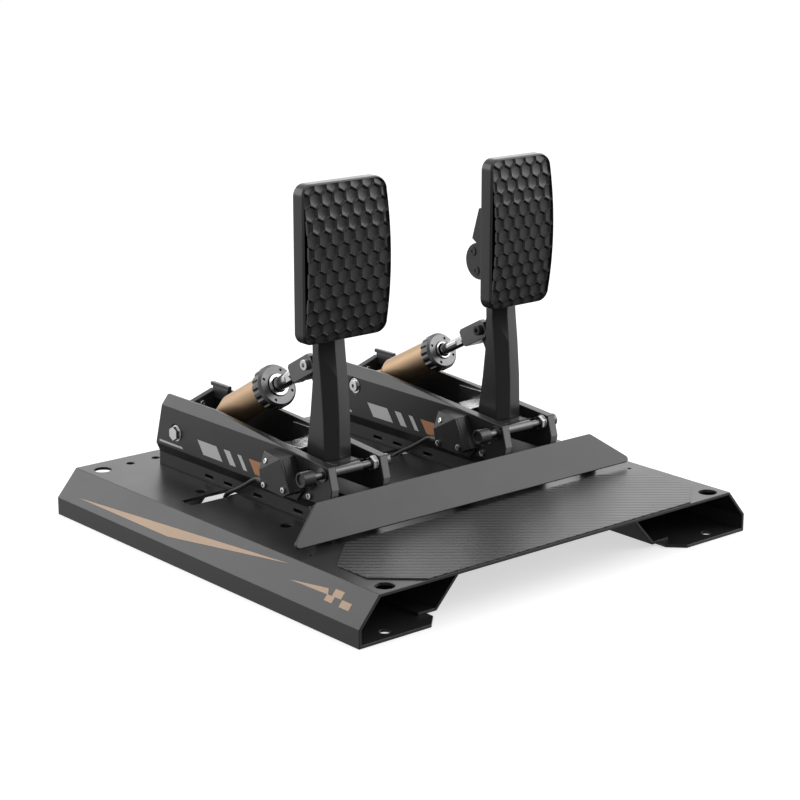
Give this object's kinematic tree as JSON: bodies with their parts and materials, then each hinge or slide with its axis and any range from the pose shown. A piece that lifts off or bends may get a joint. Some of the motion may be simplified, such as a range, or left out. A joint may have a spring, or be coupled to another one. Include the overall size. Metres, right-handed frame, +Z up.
{
  "type": "sim racing pedal set",
  "caption": "Brake and throttle pedals with damper cylinders on a folded sheet base with a kick plate and ribbed heel mat.",
  "frame": {"origin": "centre of the base's footprint, on the surface that the base stands on", "axes": "+Z up, +X to the driver's right, -Y towards the driver; the pads face -Y"},
  "size_m": [0.397, 0.391, 0.2975],
  "materials": {
    "coated_sheet": "satin black powder coat",
    "arm_coat": "satin black coat on a cast arm",
    "pad_grip": "moulded grip surface with hexagonal dimples",
    "mat_rubber": "fine ribs",
    "bronze_anodised": "satin bronze anodised",
    "black_anodised": "satin black anodised",
    "chrome_steel": "polished",
    "plated_steel": "bright zinc plate",
    "grey_steel": "dark zinc plate",
    "case_plastic": "fine moulded grain",
    "cable_jacket": "smooth jacket",
    "board_laminate": "lacquered circuit board",
    "elastomer": "matt polyurethane"
  },
  "bodies": {
    "base": {"base_plate": "coated_sheet", "side_braces": "coated_sheet", "kick_plate": "coated_sheet", "kick_brackets": "coated_sheet", "kick_screws": "grey_steel", "heel_mat": "mat_rubber", "sensor_cable": "cable_jacket", "cable_clips": "case_plastic", "brake_left_wall": "coated_sheet", "brake_right_wall": "coated_sheet", "brake_floor_spacer": "coated_sheet", "brake_rear_plate": "coated_sheet", "brake_stop_bracket": "plated_steel", "brake_top_rail": "black_anodised", "brake_unit_screws": "plated_steel", "brake_pivot_bolt": "plated_steel", "brake_sensor_case": "case_plastic", "brake_sensor_lid": "case_plastic", "brake_sensor_board": "board_laminate", "throttle_left_wall": "coated_sheet", "throttle_right_wall": "coated_sheet", "throttle_floor_spacer": "coated_sheet", "throttle_rear_plate": "coated_sheet", "throttle_stop_bracket": "plated_steel", "throttle_top_rail": "black_anodised", "throttle_unit_screws": "plated_steel", "throttle_pivot_bolt": "plated_steel", "throttle_sensor_case": "case_plastic", "throttle_sensor_lid": "case_plastic", "throttle_sensor_board": "board_laminate"},
    "brake_arm_body": {"brake_sensor_hub": "black_anodised", "brake_axle": "grey_steel", "brake_axle_nut": "plated_steel", "brake_arm_foot": "arm_coat", "brake_arm": "arm_coat", "brake_clevis_bolt": "plated_steel", "brake_pad_bracket": "arm_coat", "brake_pad_screws": "grey_steel", "brake_pad": "pad_grip"},
    "brake_rod_body": {"brake_clevis": "black_anodised", "brake_rod": "chrome_steel"},
    "brake_cylinder_body": {"brake_guide_sleeve": "chrome_steel", "brake_cylinder": "bronze_anodised", "brake_elastomers": "elastomer"},
    "brake_ring_body": {"brake_preload_ring": "black_anodised"},
    "throttle_arm_body": {"throttle_sensor_hub": "black_anodised", "throttle_axle": "grey_steel", "throttle_axle_nut": "plated_steel", "throttle_arm_foot": "arm_coat", "throttle_arm": "arm_coat", "throttle_clevis_bolt": "plated_steel", "throttle_pad_bracket": "arm_coat", "throttle_pad_screws": "grey_steel", "throttle_pad": "pad_grip"},
    "throttle_rod_body": {"throttle_clevis": "black_anodised", "throttle_rod": "chrome_steel"},
    "throttle_cylinder_body": {"throttle_guide_sleeve": "chrome_steel", "throttle_cylinder": "bronze_anodised", "throttle_spring": "grey_steel"},
    "throttle_ring_body": {"throttle_preload_ring": "black_anodised"}
  },
  "joints": [
    {"name": "brake_pedal_hinge", "type": "hinge", "parent": "base", "child": "brake_arm_body", "pos_m": [-0.0986, -0.066, 0.081], "axis": [-1, 0, 0], "range_deg": [0, 10], "stiffness_Nm_per_rad": 150, "springref_deg": -2.86, "deforming": ["brake_elastomers"]},
    {"name": "brake_cylinder_hinge", "type": "hinge", "parent": "base", "child": "brake_cylinder_body", "pos_m": [-0.0986, 0.126, 0.071], "axis": [1, 0, 0], "range_deg": [0, 0.6]},
    {"name": "brake_rod_hinge", "type": "hinge", "parent": "brake_arm_body", "child": "brake_rod_body", "pos_m": [-0.0986, -0.023, 0.154], "axis": [1, 0, 0], "range_deg": [0, 10.6]},
    {"name": "brake_ring_turn", "type": "hinge", "parent": "brake_cylinder_body", "child": "brake_ring_body", "pos_m": [-0.0986, 0.02942, 0.1248], "axis": [0, 0.8736, -0.4866], "continuous": true},
    {"name": "throttle_pedal_hinge", "type": "hinge", "parent": "base", "child": "throttle_arm_body", "pos_m": [0.0768, -0.066, 0.081], "axis": [-1, 0, 0], "range_deg": [0, 16], "stiffness_Nm_per_rad": 15, "springref_deg": -8.59, "deforming": ["throttle_spring"]},
    {"name": "throttle_cylinder_hinge", "type": "hinge", "parent": "base", "child": "throttle_cylinder_body", "pos_m": [0.0768, 0.113, 0.0835], "axis": [1, 0, 0], "range_deg": [0, 1.8]},
    {"name": "throttle_rod_hinge", "type": "hinge", "parent": "throttle_arm_body", "child": "throttle_rod_body", "pos_m": [0.0768, -0.023, 0.154], "axis": [1, 0, 0], "range_deg": [0, 17.8]},
    {"name": "throttle_ring_turn", "type": "hinge", "parent": "throttle_cylinder_body", "child": "throttle_ring_body", "pos_m": [0.0768, 0.03027, 0.12639], "axis": [0, 0.8878, -0.4602], "continuous": true}
  ],
  "couplings": [
    {"joint": "brake_cylinder_hinge", "follows": "brake_pedal_hinge", "ratio": 0.052},
    {"joint": "brake_rod_hinge", "follows": "brake_pedal_hinge", "ratio": 1.052},
    {"joint": "throttle_cylinder_hinge", "follows": "throttle_pedal_hinge", "ratio": 0.107},
    {"joint": "throttle_rod_hinge", "follows": "throttle_pedal_hinge", "ratio": 1.107}
  ]
}
